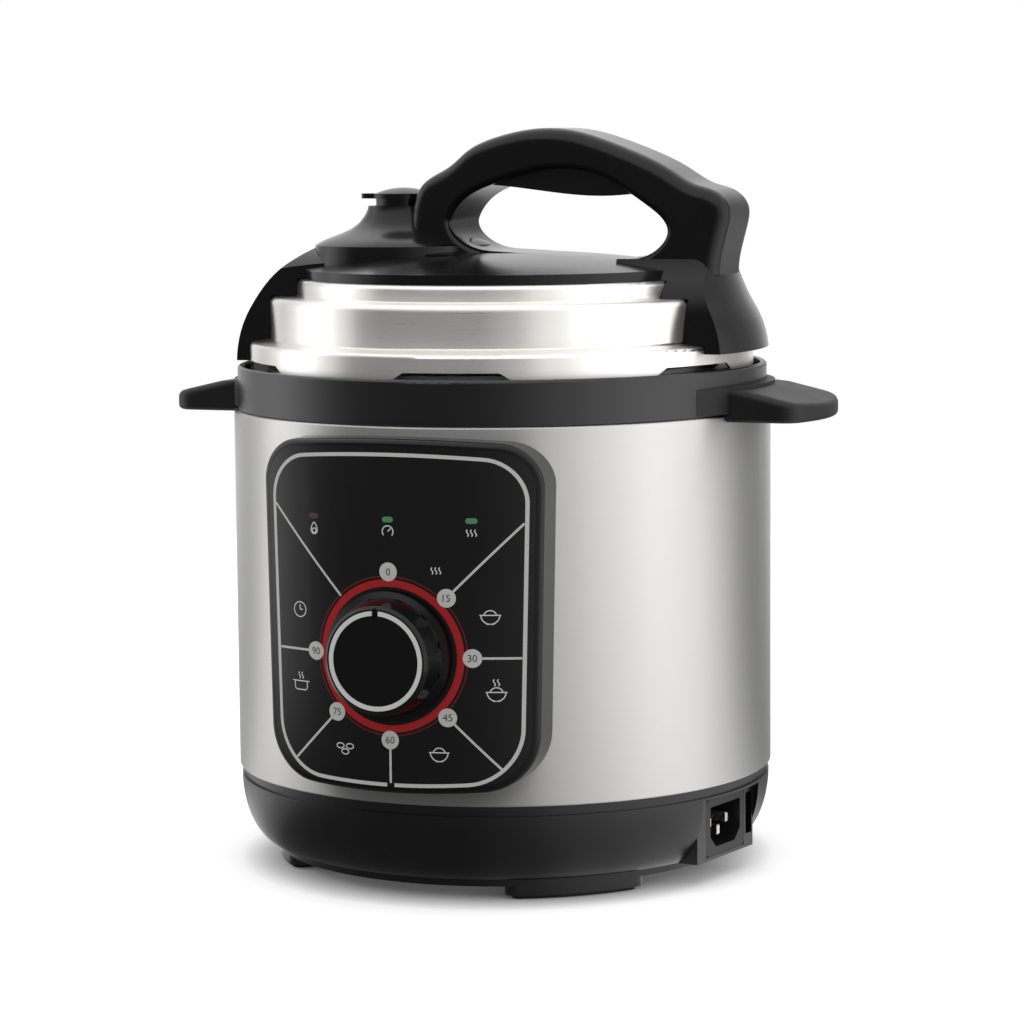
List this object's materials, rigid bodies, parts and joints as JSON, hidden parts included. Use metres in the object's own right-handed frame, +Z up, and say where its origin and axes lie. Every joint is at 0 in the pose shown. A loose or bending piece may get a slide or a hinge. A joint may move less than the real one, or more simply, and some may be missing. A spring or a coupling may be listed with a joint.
{
  "type": "electric pressure cooker",
  "caption": "Round electric pressure cooker with brushed steel body, turning lid with arched carry handle and steam valve, front timer dial and side handles",
  "frame": {"origin": "on the pot's axis, in the plane that the feet stand on", "axes": "+Z up along the pot's axis; the control panel faces -Y; the side handles point along +X and -X; the condensate cup hangs on +Y"},
  "size_m": [0.28, 0.2712, 0.2993],
  "materials": {
    "black_plastic": "fine satin",
    "cover_plastic": "satin gloss",
    "grip_plastic": "soft matt",
    "bezel_plastic": "gloss",
    "panel_film": "satin printed film",
    "smoked_plastic": "clear smoked",
    "silver_trim": "polished",
    "shell_steel": "horizontal brush",
    "lid_steel": "polished",
    "inner_steel": "plain",
    "pot_aluminium": "satin",
    "zinc_fasteners": "zinc plated",
    "brass_pins": "plain",
    "seal_rubber": "silicone",
    "pad_rubber": "matt",
    "switch_plastic": "plain",
    "lens_plastic": "clear",
    "board_resin": "board"
  },
  "bodies": {
    "root": {"base_housing": "black_plastic", "foot_pads": "pad_rubber", "inlet_socket": "switch_plastic", "inlet_pins": "brass_pins", "outer_shell": "shell_steel", "rim_band": "black_plastic", "side_handle_right": "black_plastic", "side_handle_left": "black_plastic", "handle_screws": "zinc_fasteners", "pressure_liner": "inner_steel", "liner_bracket": "inner_steel", "bracket_screws": "zinc_fasteners", "heating_plate": "pot_aluminium", "heater_nuts": "zinc_fasteners", "heater_terminals": "zinc_fasteners", "sensor_spring": "inner_steel", "pressure_switch": "switch_plastic", "switch_lever": "inner_steel", "switch_bracket": "inner_steel", "thermal_fuse": "switch_plastic", "fuse_clip": "inner_steel", "timer_switch": "switch_plastic", "timer_nut": "inner_steel", "panel_bezel": "bezel_plastic", "panel_face": "panel_film", "indicator_lenses": "lens_plastic", "indicator_leds": "lens_plastic", "indicator_board": "board_resin", "panel_screws": "zinc_fasteners", "cup_bracket": "smoked_plastic", "cup_screws": "zinc_fasteners"},
    "timer_knob": {"knob": "bezel_plastic", "knob_ring": "silver_trim", "timer_shaft": "inner_steel"},
    "seal_carrier": {"sealing_ring": "seal_rubber"},
    "lid": {"lid_shell": "lid_steel", "lid_stud": "inner_steel", "support_plate": "lid_steel", "support_nut": "zinc_fasteners", "lid_cover": "cover_plastic", "handle_grip": "grip_plastic", "grip_screws": "zinc_fasteners", "cover_screws": "zinc_fasteners", "vent_pipe": "inner_steel", "vent_nut": "inner_steel", "vent_shield": "inner_steel", "float_bush": "seal_rubber"},
    "valve_core": {"valve_weight": "inner_steel"},
    "valve_cap": {"valve_knob": "cover_plastic"},
    "float": {"float_pin": "inner_steel"},
    "pot": {"inner_pot": "pot_aluminium"},
    "sensor": {"sensor_cap": "pot_aluminium"},
    "cup": {"condensate_cup": "smoked_plastic"}
  },
  "joints": [
    {"name": "timer_turn", "type": "hinge", "parent": "root", "child": "timer_knob", "pos_m": [0, -0.12, 0.0998], "axis": [0, 1, 0], "range_deg": [0, 270]},
    {"name": "lid_lift", "type": "slide", "parent": "root", "child": "seal_carrier", "axis": [0, 0, 1], "range_m": [0, 0.3]},
    {"name": "lid_turn", "type": "hinge", "parent": "seal_carrier", "child": "lid", "pos_m": [0, 0, 0.2], "axis": [0, 0, 1], "range_deg": [-30, 0]},
    {"name": "valve_lift", "type": "slide", "parent": "lid", "child": "valve_core", "axis": [0, 0, 1], "range_m": [0, 0.004]},
    {"name": "valve_turn", "type": "hinge", "parent": "valve_core", "child": "valve_cap", "pos_m": [-0.043, 0, 0.26], "axis": [0, 0, 1], "range_deg": [0, 60]},
    {"name": "float_rise", "type": "slide", "parent": "lid", "child": "float", "axis": [0, 0, 1], "range_m": [0, 0.005]},
    {"name": "pot_lift", "type": "slide", "parent": "root", "child": "pot", "axis": [0, 0, 1], "range_m": [0, 0.15]},
    {"name": "sensor_press", "type": "slide", "parent": "root", "child": "sensor", "axis": [0, 0, 1], "range_m": [-0.002, 0], "stiffness_N_per_m": 600, "springref_m": 0.002, "deforming": ["sensor_spring"]},
    {"name": "cup_slide", "type": "slide", "parent": "root", "child": "cup", "axis": [0, 1, 0], "range_m": [0, 0.04]}
  ],
  "couplings": [
    {"joint": "pot_lift", "follows": "lid_lift", "ratio": 0.5}
  ]
}
